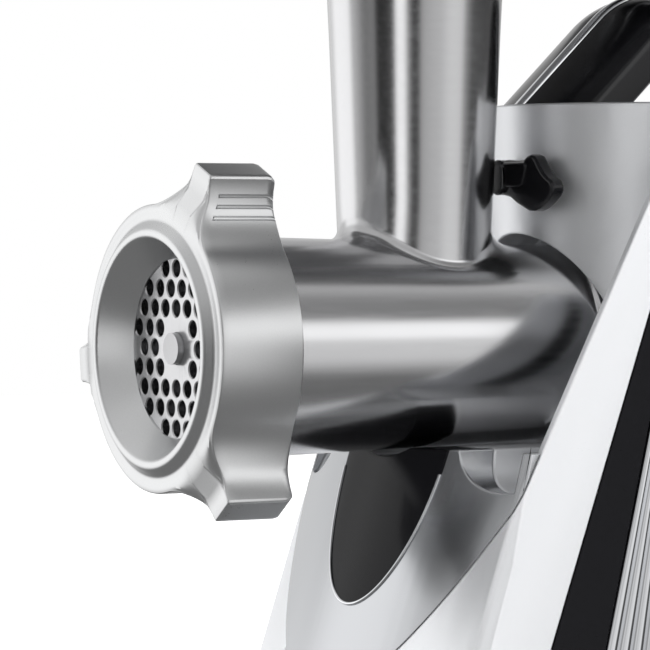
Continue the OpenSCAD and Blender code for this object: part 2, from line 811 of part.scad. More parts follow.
module motor_bracket() color(cast_grey) placed() difference() {
    union() {
        along_y(bracket_y, axis_0) linear_extrude(4) rounded([2 * stack_half, 2 * stack_half], 8);
        for (p = post_at) along_y(stack_y + stack_len + 0.01, p)
            cylinder(r = 4, h = bracket_y - stack_y - stack_len);
        along_y(bracket_y, axis_0) cylinder(r = 12, h = 10);
    }
    along_y(bracket_y - 1, axis_0) cylinder(r = 9, h = 12);
    for (a = [45:90:315]) translate([axis_0[0], 0, axis_0[1]]) rotate([0, a, 0])
        along_y(bracket_y - 1, [0, 26]) cylinder(r = 6, h = 6);
}

module motor_bearings() color(bright) placed() {
    along_y(case_back, axis_0) tube(8, motor_shaft_r + run, cover_t);
    along_y(bracket_y, axis_0) tube(9, motor_shaft_r + run, 9);
}

brush_y = comm_y + 6;

module brush_holders() color(brass) placed() for (s = [-1, 1]) translate([axis_0[0] + s * 21, brush_y, axis_0[1]])
    difference() {
        translate([-8, -4.5, -5.5]) cube([16, bracket_y - brush_y + 4.5, 11]);
        cube([18, 5.2, 7.2], center = true);
    }

module brushes() color([0.15, 0.15, 0.16]) placed() for (s = [-1, 1])
    translate([axis_0[0] + s * 18.6, brush_y, axis_0[1]]) cube([15, 5, 7], center = true);

// ---------- electrics ----------

board_z = body_floor + 6;

module control_board() color(board_green) placed() {
    translate([-28, 96, board_z]) cube([56, 66, 1.6]);
    translate([-20, 120, board_z + 1.6 - eps]) cube([14, 10, 10]);
    translate([14, 140, board_z + 1.6 - eps]) cylinder(r = 6, h = 13);
    translate([10, 104, board_z + 1.6 - eps]) cube([12, 18, 4]);
}

module switch_body() color(black) placed() translate([0, body_back - shell - 12, rocker_z]) difference() {
    translate([-rocker_w / 2 - 2, -8, -rocker_h / 2 - 2]) cube([rocker_w + 4, 19.5, rocker_h + 4]);
    translate([-rocker_w / 2, 0, -rocker_h / 2]) cube([rocker_w, 30, rocker_h]);
}

module rocker() color(black) placed() translate([0, body_back - 4, rocker_z])
    plate_x(rocker_w - 1) polygon([[-5, -6], [3, -8.4], [6, -8], [4, 0], [7.5, 8], [5, 8.4], [-5, 6]]);

module cord_gland() color(black) placed() along_y(body_back + 0.01, [0, gland_z]) difference() {
    union() {
        rotate_extrude() polygon([[0, 0], [gland_r + 3, 0], [gland_r + 3, 2], [gland_r, 3], [gland_r - 2, gland_len], [0, gland_len]]);
        translate([0, 0, -shell - 3]) cylinder(r = gland_r - 1.1, h = shell + 3 + eps);
    }
    translate([0, 0, -shell - 4]) cylinder(r = 3.5, h = shell + gland_len + 6);
}

barrel();
barrel_bush();
auger();
knife();
disc();
ring();
tray();
pusher();
lock_knob();
lock_shaft();
socket_collar();
nose_shell();
chin_panel();
leaf_inlay();
side_panel_left();
side_panel_right();
band_left();
band_right();
ridge_trim_left();
ridge_trim_right();
rear_shell();
base_plate();
feet();
base_screws();
handle();
handle_trim();
gear_case();
gear_cover();
cover_screws();
output_gear();
output_bushes();
gear_2();
pinion_2();
gear_1();
pinion_1();
idler_bushes();
stator_core();
stator_coils();
rotor_core();
rotor_shaft();
rotor_coils();
commutator();
fan();
motor_bracket();
motor_bearings();
brush_holders();
brushes();
control_board();
switch_body();
rocker();
cord_gland();
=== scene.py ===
"""Looks of an electric meat grinder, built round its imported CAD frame."""

import math

import bmesh
import bpy
import numpy as np
from mathutils import Matrix, Vector


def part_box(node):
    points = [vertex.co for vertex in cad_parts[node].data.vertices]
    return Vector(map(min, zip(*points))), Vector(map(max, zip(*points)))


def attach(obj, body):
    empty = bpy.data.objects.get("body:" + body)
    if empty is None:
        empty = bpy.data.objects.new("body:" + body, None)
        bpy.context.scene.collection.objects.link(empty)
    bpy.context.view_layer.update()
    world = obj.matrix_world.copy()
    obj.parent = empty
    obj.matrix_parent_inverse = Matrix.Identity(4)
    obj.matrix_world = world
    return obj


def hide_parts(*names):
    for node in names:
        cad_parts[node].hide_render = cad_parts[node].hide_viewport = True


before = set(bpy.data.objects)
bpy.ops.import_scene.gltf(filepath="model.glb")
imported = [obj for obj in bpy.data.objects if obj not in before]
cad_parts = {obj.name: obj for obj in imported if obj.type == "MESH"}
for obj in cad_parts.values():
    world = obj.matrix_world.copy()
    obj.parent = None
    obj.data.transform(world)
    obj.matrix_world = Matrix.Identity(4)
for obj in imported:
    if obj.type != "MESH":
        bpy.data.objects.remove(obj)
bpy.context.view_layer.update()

MM = 0.001
TURN = 2 * math.pi

# ---------- places and sizes, in millimetres from the centre of the socket's face ----------

collar_low, collar_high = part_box("socket_collar")
AXIS = Vector(((collar_low.x + collar_high.x) / 2, collar_low.y, (collar_low.z + collar_high.z) / 2))


def local_box(node):
    """Lowest and highest corner of a CAD node, in millimetres from the socket's centre."""
    low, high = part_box(node)
    return (low - AXIS) / MM, (high - AXIS) / MM


ring_low, ring_high = local_box("ring")
disc_low, disc_high = local_box("disc")
barrel_low, barrel_high = local_box("barrel")
tray_low, tray_high = local_box("tray")
pusher_low, pusher_high = local_box("pusher")
trim_low, trim_high = local_box("handle_trim")
handle_low, handle_high = local_box("handle")
ridge_low, ridge_high = local_box("ridge_trim_right")
rear_low = local_box("rear_shell")[0]
leaf_low, leaf_high = local_box("leaf_inlay")
knob_low = local_box("lock_knob")[0]

DISC_R = disc_high.x
LIP = 2.5  # how far the ring's lip stands out
RING_FRONT = ring_low.y + LIP
RING_DEPTH = ring_high.y - RING_FRONT
THREAD_R = DISC_R + 2.5
PITCH = 3  # of the ring's thread
BORE_R = DISC_R - 4
COLLAR_BORE = 27
SHANK_R = COLLAR_BORE - 0.06
TRAY_Y = (tray_low.y + tray_high.y) / 2
NECK_X = (pusher_low.x + pusher_high.x) / 2
NECK_Y = (pusher_low.y + pusher_high.y) / 2
NECK_TOP = barrel_high.z
NECK_FOOT_R = 23.5
NECK_MOUTH_R = 28.5
FEED_R = 22.2  # the neck's bore
SPOUT_R = 25  # the wider seat at its top, for the tray's spout
BARREL_FRONT_R = THREAD_R + 1.4
BARREL_REAR_R = 31.8
BARREL_SHOULDER = ring_high.y + 0.5
BODY_TOP = trim_low.z


# ---------- mesh tools ----------


def arc(centre, radius, start, end, steps):
    """Points on an arc, angles in degrees, both ends included."""
    angles = [math.radians(start + (end - start) * i / steps) for i in range(steps + 1)]
    return [(centre[0] + radius * math.cos(a), centre[1] + radius * math.sin(a)) for a in angles]


def rounded(points, radius, steps=4, closed=True):
    """An outline whose corners are rounded. radius is one number, or one for each corner."""
    count = len(points)
    out = []
    for i, point in enumerate(points):
        size = radius[i] if isinstance(radius, (list, tuple)) else radius
        here = Vector(point)
        before = Vector(points[i - 1]) - here
        after = Vector(points[(i + 1) % count]) - here
        if size == 0 or (not closed and i in (0, count - 1)):
            out.append(here)
            continue
        size = min(size, 0.48 * before.length, 0.48 * after.length)
        first = here + before.normalized() * size
        last = here + after.normalized() * size
        for k in range(steps + 1):
            t = k / steps
            out.append(first * (1 - t) ** 2 + here * 2 * t * (1 - t) + last * t**2)
    return [tuple(p) for p in out]


def shade(mesh, limit=32):
    """Smooth shading, with edges sharper than the limit left crisp."""
    form = bmesh.new()
    form.from_mesh(mesh)
    for face in form.faces:
        face.smooth = True
    for edge in form.edges:
        edge.smooth = len(edge.link_faces) == 2 and edge.calc_face_angle(0) < math.radians(limit)
    form.to_mesh(mesh)
    form.free()


def make(name, points, faces, limit=32):
    """A mesh object from points in millimetres about the socket's centre."""
    mesh = bpy.data.meshes.new(name)
    mesh.from_pydata([AXIS + Vector(p) * MM for p in points], [], faces)
    mesh.validate()
    form = bmesh.new()
    form.from_mesh(mesh)
    bmesh.ops.recalc_face_normals(form, faces=form.faces)
    form.to_mesh(mesh)
    form.free()
    shade(mesh, limit)
    piece = bpy.data.objects.new(name, mesh)
    bpy.context.scene.collection.objects.link(piece)
    return piece


def skin(name, rows, close_rows=True, close_columns=True, caps=False, limit=32):
    """A surface through rows of points. Rows and columns may close on themselves."""
    count = len(rows[0])
    points = [p for row in rows for p in row]
    faces = []
    for i in range(len(rows) if close_rows else len(rows) - 1):
        for j in range(count if close_columns else count - 1):
            a, b = i * count, (i + 1) % len(rows) * count
            k = (j + 1) % count
            faces.append((a + j, a + k, b + k, b + j))
    if caps:
        last = (len(rows) - 1) * count
        faces.append(tuple(range(count)))
        faces.append(tuple(last + j for j in range(count)))
    return make(name, points, faces, limit)


def lathe(name, profile, centre=(0, 0), upright=False, steps=128, limit=32):
    """A closed (radius, height) profile turned about the barrel's axis, or about the neck's if upright."""
    rows = []
    for i in range(steps):
        a = TURN * i / steps
        side, rise = math.cos(a), math.sin(a)
        if upright:
            rows.append([(centre[0] + r * side, centre[1] + r * rise, h) for r, h in profile])
        else:
            rows.append([(centre[0] + r * side, h, centre[1] + r * rise) for r, h in profile])
    return skin(name, rows, limit=limit)


def slab(name, outline, front, back, edge, segments=3):
    """A flat outline in X and Z given thickness along Y, with all its edges rounded."""
    rows = [[(x, y, z) for x, z in outline] for y in (front, back)]
    piece = skin(name, rows, close_rows=False, caps=True)
    for face in piece.data.polygons:
        face.use_smooth = True
    bevel = piece.modifiers.new("edges", "BEVEL")
    bevel.width = edge * MM
    bevel.segments = segments
    bevel.limit_method = "ANGLE"
    bevel.angle_limit = math.radians(40)
    bevel.harden_normals = True
    evaluated(piece)
    return piece


def evaluated(piece):
    """Bakes a piece's modifiers into its mesh."""
    graph = bpy.context.evaluated_depsgraph_get()
    graph.update()
    mesh = bpy.data.meshes.new_from_object(piece.evaluated_get(graph))
    piece.modifiers.clear()
    piece.data = mesh


def cut(piece, *tools, operation="DIFFERENCE"):
    """Exact boolean of a piece with each tool in turn; the tools are used up."""
    for tool in tools:
        step = piece.modifiers.new("cut", "BOOLEAN")
        step.operation = operation
        step.solver = "EXACT"
        step.object = tool
        evaluated(piece)
        bpy.data.objects.remove(tool)


def weld(mesh, distance=0.004, flat=0.4):
    """Joins the CAD mesh's doubled points and clears the triangles out of its flat faces."""
    form = bmesh.new()
    form.from_mesh(mesh)
    bmesh.ops.remove_doubles(form, verts=form.verts, dist=distance * MM)
    bmesh.ops.dissolve_limit(form, angle_limit=math.radians(flat), verts=form.verts, edges=form.edges)
    bmesh.ops.recalc_face_normals(form, faces=form.faces)
    form.to_mesh(mesh)
    form.free()


def refined(node, edge=0.6, segments=2, angle=35):
    """A new piece from a CAD node's mesh with every sharp edge rounded."""
    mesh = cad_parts[node].data.copy()
    mesh.name = node + "_finished"
    mesh.materials.clear()
    weld(mesh)
    piece = bpy.data.objects.new(node + "_finished", mesh)
    bpy.context.scene.collection.objects.link(piece)
    for face in mesh.polygons:
        face.use_smooth = True
    bevel = piece.modifiers.new("edges", "BEVEL")
    bevel.width = edge * MM
    bevel.segments = segments
    bevel.limit_method = "ANGLE"
    bevel.angle_limit = math.radians(angle)
    bevel.use_clamp_overlap = False
    even = piece.modifiers.new("even_normals", "WEIGHTED_NORMAL")
    even.weight = 100
    even.keep_sharp = False
    evaluated(piece)
    return piece


def install(piece, body, slot, finish, *nodes):
    """Puts a finished piece on its body, in place of CAD nodes, with a material."""
    piece.data.materials.clear()
    piece.data.materials.append(finish)
    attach(piece, body)
    if nodes:
        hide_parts(*nodes)


# ---------- materials ----------


def surface(name, colour, metallic=0.0, rough=0.3, vary=0.05, grain=900, stretch=(1, 1, 1), mottle=0.04,
            bump=0.0, coat=0.0, coat_rough=0.05, specular=0.5):
    """A principled material whose colour, roughness and grain vary over the surface."""
    material = bpy.data.materials.new(name)
    material.use_nodes = True
    nodes, links = material.node_tree.nodes, material.node_tree.links
    shader = nodes["Principled BSDF"]
    shader.inputs["Metallic"].default_value = metallic
    shader.inputs["Coat Weight"].default_value = coat
    shader.inputs["Coat Roughness"].default_value = coat_rough
    shader.inputs["Specular IOR Level"].default_value = specular
    place = nodes.new("ShaderNodeTexCoord")
    mapping = nodes.new("ShaderNodeMapping")
    mapping.inputs["Scale"].default_value = stretch
    links.new(place.outputs["Object"], mapping.inputs["Vector"])

    fine = nodes.new("ShaderNodeTexNoise")
    fine.inputs["Scale"].default_value = grain
    fine.inputs["Detail"].default_value = 4
    links.new(mapping.outputs["Vector"], fine.inputs["Vector"])

    broad = nodes.new("ShaderNodeTexNoise")
    broad.inputs["Scale"].default_value = 22
    broad.inputs["Detail"].default_value = 3
    links.new(place.outputs["Object"], broad.inputs["Vector"])

    tint = nodes.new("ShaderNodeMixRGB")
    tint.inputs["Color1"].default_value = (*[c * (1 - mottle) for c in colour], 1)
    tint.inputs["Color2"].default_value = (*[min(1, c * (1 + mottle)) for c in colour], 1)
    links.new(fine.outputs["Fac"], tint.inputs["Fac"])
    links.new(tint.outputs["Color"], shader.inputs["Base Color"])

    both = nodes.new("ShaderNodeMath")
    both.operation = "ADD"
    links.new(fine.outputs["Fac"], both.inputs[0])
    links.new(broad.outputs["Fac"], both.inputs[1])
    spread = nodes.new("ShaderNodeMapRange")
    spread.inputs["From Min"].default_value = 0.6
    spread.inputs["From Max"].default_value = 1.4
    spread.inputs["To Min"].default_value = max(0.02, rough - vary)
    spread.inputs["To Max"].default_value = rough + vary
    links.new(both.outputs["Value"], spread.inputs["Value"])
    links.new(spread.outputs["Result"], shader.inputs["Roughness"])

    if bump:
        relief = nodes.new("ShaderNodeBump")
        relief.inputs["Strength"].default_value = bump
        relief.inputs["Distance"].default_value = 0.0001
        links.new(fine.outputs["Fac"], relief.inputs["Height"])
        links.new(relief.outputs["Normal"], shader.inputs["Normal"])
    return material


polished_steel = surface("polished_steel", (0.68, 0.68, 0.69), metallic=1, rough=0.19, vary=0.04,
                         grain=700, stretch=(1, 0.06, 1), bump=0.05)
satin_aluminium = surface("satin_aluminium", (0.72, 0.725, 0.73), metallic=1, rough=0.31, grain=1800,
                          mottle=0.05, bump=0.12)
chrome = surface("chrome", (0.82, 0.83, 0.85), metallic=1, rough=0.06, vary=0.02, grain=300, mottle=0.02)
silver_paint = surface("silver_paint", (0.62, 0.63, 0.65), metallic=1, rough=0.22, vary=0.03, grain=2600,
                       mottle=0.03, bump=0.03)
nose_paint = surface("nose_paint", (0.84, 0.85, 0.87), metallic=0.85, rough=0.42, vary=0.03, grain=2600,
                     mottle=0.03, bump=0.03)
panel_paint = surface("panel_paint", (0.88, 0.89, 0.91), metallic=0.8, vary=0.03, grain=2600,
                      mottle=0.02, bump=0.03)
# Near-black lacquer for the real black bands; on the leaf inlay the same black is a painted reflection of the
# dark surroundings.
black_lacquer_and_painted_reflection = surface("black_lacquer_and_painted_reflection", (0.004, 0.004, 0.005), rough=0.14, vary=0.03, grain=500,
                        mottle=0.2, bump=0.02, specular=0.13)
black_gloss = surface("black_gloss", (0.006, 0.006, 0.007), rough=0.12, vary=0.03, grain=500, mottle=0.2,
                      bump=0.02, coat=0.2, coat_rough=0.04, specular=0.3)
black_satin = surface("black_satin", (0.022, 0.022, 0.024), rough=0.34, vary=0.06, grain=1400,
                      mottle=0.15, bump=0.15)
rubber = surface("rubber", (0.03, 0.03, 0.03), rough=0.75, vary=0.08, grain=1600, mottle=0.2, bump=0.3,
                 specular=0.3)
cast_metal = surface("cast_metal", (0.55, 0.56, 0.57), metallic=1, rough=0.48, vary=0.08, grain=1200,
                     mottle=0.10, bump=0.5)
ground_steel = surface("ground_steel", (0.62, 0.62, 0.63), metallic=1, rough=0.24, vary=0.06, grain=1500,
                       stretch=(1, 1, 0.05), mottle=0.06, bump=0.12)
tinned_iron = surface("tinned_iron", (0.58, 0.58, 0.59), metallic=1, rough=0.36, vary=0.08, mottle=0.08,
                      bump=0.35)
nylon = surface("nylon", (0.86, 0.84, 0.77), rough=0.42, vary=0.06, grain=700, mottle=0.03, bump=0.08)
sintered_brass = surface("sintered_brass", (0.72, 0.56, 0.28), metallic=1, rough=0.38, vary=0.08,
                         grain=1800, mottle=0.08, bump=0.3)
copper_wire = surface("copper_wire", (0.70, 0.32, 0.14), metallic=0.9, rough=0.33, vary=0.08, grain=420,
                      stretch=(1, 9, 1), mottle=0.25, bump=0.8)
laminations = surface("laminations", (0.30, 0.31, 0.33), metallic=0.9, rough=0.42, vary=0.08, grain=260,
                      stretch=(0.05, 12, 0.05), mottle=0.3, bump=0.6)
board_green = surface("board_green", (0.03, 0.16, 0.07), rough=0.35, vary=0.08, grain=240, mottle=0.25,
                      bump=0.1, coat=0.3)
graphite = surface("graphite", (0.045, 0.045, 0.05), metallic=0.2, rough=0.5, vary=0.08, grain=1300,
                   mottle=0.2, bump=0.2)

# ---------- mincing head ----------

LOBE_ANGLES = (23.5, 143.5, 263.5)  # clockwise from the top, seen from the front
RING_R = 45
MOUTH_R = 35
SEAT_R = MOUTH_R - 7  # inner edge of the flange that holds the disc
FACE_R = MOUTH_R + 7  # where the flat of the front face starts
LOBE_R = 60.6
LOBE_TIP = 5.5
FLANK_R = 24  # each hollow flank is an arc that touches the ring's own circle
FLANK_X = LOBE_TIP + FLANK_R
FLANK_Z = math.sqrt((RING_R + FLANK_R) ** 2 - FLANK_X**2)
LOBE_ROOT = FLANK_Z * RING_R / (RING_R + FLANK_R)
LOBE_SETBACK = 4.4
GROOVES = (48.5, 51.5, 54.5)  # their distances from the axis
GROOVE_DEEP = 0.7
GROOVE_HALF = 0.55
FLANGE = disc_low.y - RING_FRONT


def lobe_half(height):
    """Half width of a grip lobe at a distance from the axis."""
    return FLANK_X - math.sqrt(FLANK_R**2 - (FLANK_Z - height) ** 2)


def ring_outline():
    """Columns round the ring: (lobe angle, x, height, groove) with the lobe upright."""
    corner = 1.0
    flank = [(lobe_half(h), h, h) for h in np.arange(LOBE_R - corner, LOBE_ROOT, -0.25)]
    start = math.degrees(math.atan2(flank[-1][0], flank[-1][1]))
    round_part = [math.radians(a) for a in np.arange(start + 1.5, 60, 1.5)]
    columns = []
    for lobe in LOBE_ANGLES:
        side = [(x, LOBE_R, 0) for x in (0.8, 2.2, 3.6)]
        side += [(x, z, 0) for x, z in arc((LOBE_TIP - corner, LOBE_R - corner), corner, 90, 15, 4)]
        side += flank
        side += [(RING_R * math.sin(a), RING_R * math.cos(a), 0) for a in round_part]
        columns += [(lobe, -x, h, 0) for x, h, g in reversed(side)]
        for x, h, g in side:
            near = min(abs(g - groove) for groove in GROOVES)
            columns.append((lobe, x, h, max(0, 1 - (near / GROOVE_HALF) ** 4)))
    return columns


def smooth(t):
    """Eases from 0 to 1 as t does."""
    t = min(1, max(0, t))
    return t * t * (3 - 2 * t)


def ring_face(radius):
    """How far the ring's front face lies behind its flat at a radius; the lobes are set back."""
    return LOBE_SETBACK * smooth((radius - RING_R + 1) / 11)


def ring_section(point, outward, groove):
    """Section of the ring through one point of its outline, from the lip round to the thread."""
    row = []
    reach = point.length
    spoke = point / reach
    lobe_share = smooth((reach - RING_R) / 9)

    def rim(radius, y):
        row.append((spoke.x * radius, RING_FRONT + y, spoke.y * radius))

    def side(inset, y, groove=0, pull=0):
        place = point - outward * (inset + groove * GROOVE_DEEP) - spoke * pull
        row.append((place.x, RING_FRONT + y, place.y))

    rim(SEAT_R, FLANGE)
    lip = [(SEAT_R, FLANGE - 0.4), (MOUTH_R - 0.2, -LIP), (MOUTH_R + 2.2, -LIP)]
    lip += [(MOUTH_R + 4.8, 0.1), (FACE_R, 0.1)]
    for radius, y in rounded(lip, 0.8, 3, closed=False):
        rim(radius, y)
    for share in (0.3, 0.6, 0.85):
        radius = FACE_R + (reach - 1 - FACE_R) * share
        rim(radius, ring_face(radius))
    edge = ring_face(reach)
    side(0.8, edge)
    side(0.4, edge + 0.1)
    side(0.1, edge + 0.4)
    side(0, edge + 0.8)
    side(0, edge + 3.4)
    side(0, edge + 4.2, groove)
    back = RING_DEPTH - 0.4 * lobe_share
    soft = 2.6 * lobe_share
    side(0, back - 0.8 - soft, groove)
    side(0.1, back - 0.4 - 0.5 * soft, groove, 0.13 * soft)
    side(0.4, back - 0.1 - 0.13 * soft, 0, 0.5 * soft)
    side(0.8, back, 0, soft)

    rim(THREAD_R + 1, RING_DEPTH)
    y = RING_DEPTH - 0.7
    while y > FLANGE + PITCH:
        rim(THREAD_R + 0.07, y)
        rim(THREAD_R + 0.6, y - PITCH / 2)
        y -= PITCH
    rim(THREAD_R + 0.07, FLANGE + 0.5)
    rim(THREAD_R - 0.4, FLANGE)
    return row


def build_ring():
    """Screw ring with three grooved lobes."""
    outline = ring_outline()
    flat = []
    for lobe, x, h, groove in outline:
        a = math.radians(lobe)
        flat.append(Vector((x * math.cos(a) + h * math.sin(a), h * math.cos(a) - x * math.sin(a))))
    rows = []
    for i, point in enumerate(flat):
        tangent = (flat[(i + 1) % len(flat)] - flat[i - 1]).normalized()
        outward = Vector((-tangent.y, tangent.x))
        if outward.dot(point) < 0:
            outward = -outward
        rows.append(ring_section(point, outward, outline[i][3]))
    return skin("screw_ring", rows, limit=28)


def build_disc():
    """Perforated disc with a key on its rim and a small chamfer round every hole."""
    front, back = disc_low.y, disc_high.y
    centre_r, key_half = 5, 1.4
    rim = [(centre_r, front), (DISC_R, front), (DISC_R, back), (centre_r, back)]
    plate = lathe("perforated_disc", rounded(rim, 0.3, 2), steps=160)
    tab = [(-key_half, -DISC_R + 1), (key_half, -DISC_R + 1), (key_half, disc_low.z), (-key_half, disc_low.z)]
    key = slab("key", tab, front + 2.2, back, 0.2, 2)
    sides, step, hole_r, chamfer = 28, 7.2, 2.6, 0.35
    levels = [(chamfer + 1, front - 1), (0, front + chamfer), (0, back - chamfer), (chamfer + 1, back + 1)]
    points, faces = [], []
    for i in range(-4, 5):
        for j in range(-4, 5):
            x, z = (i + j / 2) * step, -j * step * math.sin(math.radians(60))
            if not 8.5 < math.hypot(x, z) < DISC_R - 4.5:
                continue
            first = len(points)
            for grow, y in levels:
                points += [(x + (hole_r + grow) * math.cos(TURN * k / sides), y,
                            z + (hole_r + grow) * math.sin(TURN * k / sides)) for k in range(sides)]
            for row in range(len(levels) - 1):
                a = first + row * sides
                b = a + sides
                faces += [(a + k, a + (k + 1) % sides, b + (k + 1) % sides, b + k) for k in range(sides)]
            faces.append(tuple(range(first, first + sides)))
            faces.append(tuple(range(first + 3 * sides, first + 4 * sides)))
    holes = make("holes", points, faces)
    cut(plate, key, operation="UNION")
    cut(plate, holes)
    shade(plate.data, 30)
    return plate


REAR_RIM = -5.5  # where the rim at the barrel's rear starts
REAR_RIM_R = 33.2
LATCH_R = 23.2  # floor of the groove that the lock's latch drops into
BUSH_R = 11
SADDLE_Z = 28  # mean height at which the neck meets the barrel
SADDLE_SIDE = 2.0
SADDLE_FORE = 6.6  # how much softer the saddle is in front and behind than at the sides
BENDS = 12


def barrel_radius(y):
    """Outside radius of the barrel, which narrows towards the socket."""
    share = (y - BARREL_SHOULDER) / (-6 - BARREL_SHOULDER)
    return BARREL_FRONT_R + (BARREL_REAR_R - BARREL_FRONT_R) * share


def barrel_outside():
    """Profile of the barrel: thread, body, rear rim, and shank with the latch's groove."""
    profile = [(0, barrel_low.y), (THREAD_R - 0.6, barrel_low.y)]
    y = barrel_low.y + 1.5
    while y < BARREL_SHOULDER - 2:
        profile += [(THREAD_R - 0.55, y), (THREAD_R, y + 1.1), (THREAD_R, y + 1.9)]
        y += PITCH
    tail = barrel_high.y
    body = [(THREAD_R, BARREL_SHOULDER), (BARREL_FRONT_R - 0.6, BARREL_SHOULDER)]
    body += [(BARREL_FRONT_R, BARREL_SHOULDER + 1.4), (barrel_radius(REAR_RIM), REAR_RIM - 0.3)]
    body += [(REAR_RIM_R, REAR_RIM + 0.6), (REAR_RIM_R, -0.5), (SHANK_R, -0.5)]
    body += [(SHANK_R, 7), (LATCH_R, 7.5), (LATCH_R, 14.5), (SHANK_R, 15), (SHANK_R, tail)]
    return profile + rounded(body, 0.5, 3, closed=False) + [(0, tail)]


def neck_radius(z):
    """Outside radius of the neck, which widens towards its mouth."""
    return NECK_FOOT_R + (NECK_MOUTH_R - NECK_FOOT_R) * z / NECK_TOP


def saddle(a):
    """Soft curve from the neck down onto the barrel, at one angle round the neck."""
    run_x, run_y = math.cos(a), math.sin(a)
    soft = SADDLE_SIDE + SADDLE_FORE * abs(run_y) ** 3
    radius = neck_radius(SADDLE_Z)

    def on_barrel(reach):
        x = NECK_X + reach * run_x
        y = NECK_Y + reach * run_y
        return Vector((x, y, math.sqrt(barrel_radius(y) ** 2 - x**2)))

    meet = on_barrel(radius)
    top_z = meet.z + soft
    top = Vector((NECK_X + neck_radius(top_z) * run_x, NECK_Y + neck_radius(top_z) * run_y, top_z))
    end = on_barrel(radius + soft)
    slope = (on_barrel(radius + soft + 0.05) - end).normalized()
    hold = 0.62
    control_a = top + Vector((0, 0, -1)) * soft * hold
    control_b = end - slope * (end - meet).length * hold
    curve = []
    for k in range(BENDS + 1):
        t = k / BENDS
        curve.append(top * (1 - t) ** 3 + control_a * 3 * t * (1 - t) ** 2
                     + control_b * 3 * t**2 * (1 - t) + end * t**3)
    curve.append(end + slope * 0.5 - Vector((end.x, 0, end.z)).normalized() * 0.35)
    curve.append(Vector((NECK_X + 12 * run_x, NECK_Y + 12 * run_y, 4)))
    return curve


def build_barrel():
    """Barrel and neck cast in one, with a soft saddle where they meet."""
    count = 180
    barrel = lathe("barrel_and_neck", barrel_outside(), steps=count)
    sweep = [TURN * i / count for i in range(count)]

    def around_neck(radius, z):
        return [(NECK_X + radius * math.cos(a), NECK_Y + radius * math.sin(a), z) for a in sweep]

    lip_r = NECK_MOUTH_R + 1.2
    lip = [(NECK_MOUTH_R - 0.8, NECK_TOP), (lip_r, NECK_TOP), (lip_r, NECK_TOP - 4)]
    lip += [(NECK_MOUTH_R - 0.1, NECK_TOP - 4.8)]
    rows = [around_neck(radius, z) for radius, z in rounded(lip, 0.6, 3, closed=False)]
    rows += [around_neck(neck_radius(z), z) for z in (100, 85, 70, 58, 46)]
    saddles = [saddle(a) for a in sweep]
    rows += [[tuple(curve[k]) for curve in saddles] for k in range(len(saddles[0]))]
    neck = skin("neck", rows, close_rows=False, caps=True)
    cut(barrel, neck, operation="UNION")

    front, tail = barrel_low.y - 2, barrel_high.y + 2
    seat_r = DISC_R + 0.08
    hole = [(0, front), (seat_r, front), (seat_r, disc_high.y), (BORE_R, disc_high.y), (BORE_R, -8)]
    hole += [(BUSH_R, -8), (BUSH_R, 4), (20, 4), (20, tail), (0, tail)]
    bore = lathe("bore", hole, steps=120)
    hole = [(0, 0), (FEED_R, 0), (FEED_R, NECK_TOP - 18.5), (SPOUT_R, NECK_TOP - 18)]
    hole += [(SPOUT_R, NECK_TOP - 0.8), (SPOUT_R + 1, NECK_TOP + 1), (0, NECK_TOP + 1)]
    feed = lathe("feed", hole, (NECK_X, NECK_Y), True, 120)
    cut(barrel, bore, feed)
    shade(barrel.data, 30)
    return barrel


def build_collar():
    """Bright ring round the mouth of the socket."""
    inner, outer = COLLAR_BORE + 0.06, 34
    profile = [(inner, 0.4), (COLLAR_BORE + 0.5, 0), (outer - 2.5, 0), (outer - 1.4, 0.9), (outer, 1.3)]
    profile += [(outer, 5), (inner, 5)]
    return lathe("socket_ring", rounded(profile, 0.5, 3), steps=160)


# ---------- tray, pusher and knob ----------


def tray_loop(centre, half_x, half_y, corner, z, count=160):
    """Rounded rectangle, or a circle where the corner equals both halves."""
    arms = []
    for cx, cy, first in ((1, 1, 0), (-1, 1, 90), (-1, -1, 180), (1, -1, 270)):
        middle = (centre[0] + cx * (half_x - corner), centre[1] + cy * (half_y - corner))
        arms += arc(middle, corner, first, first + 90, count // 4 - 1)
    return [(x, y, z) for x, y in arms]


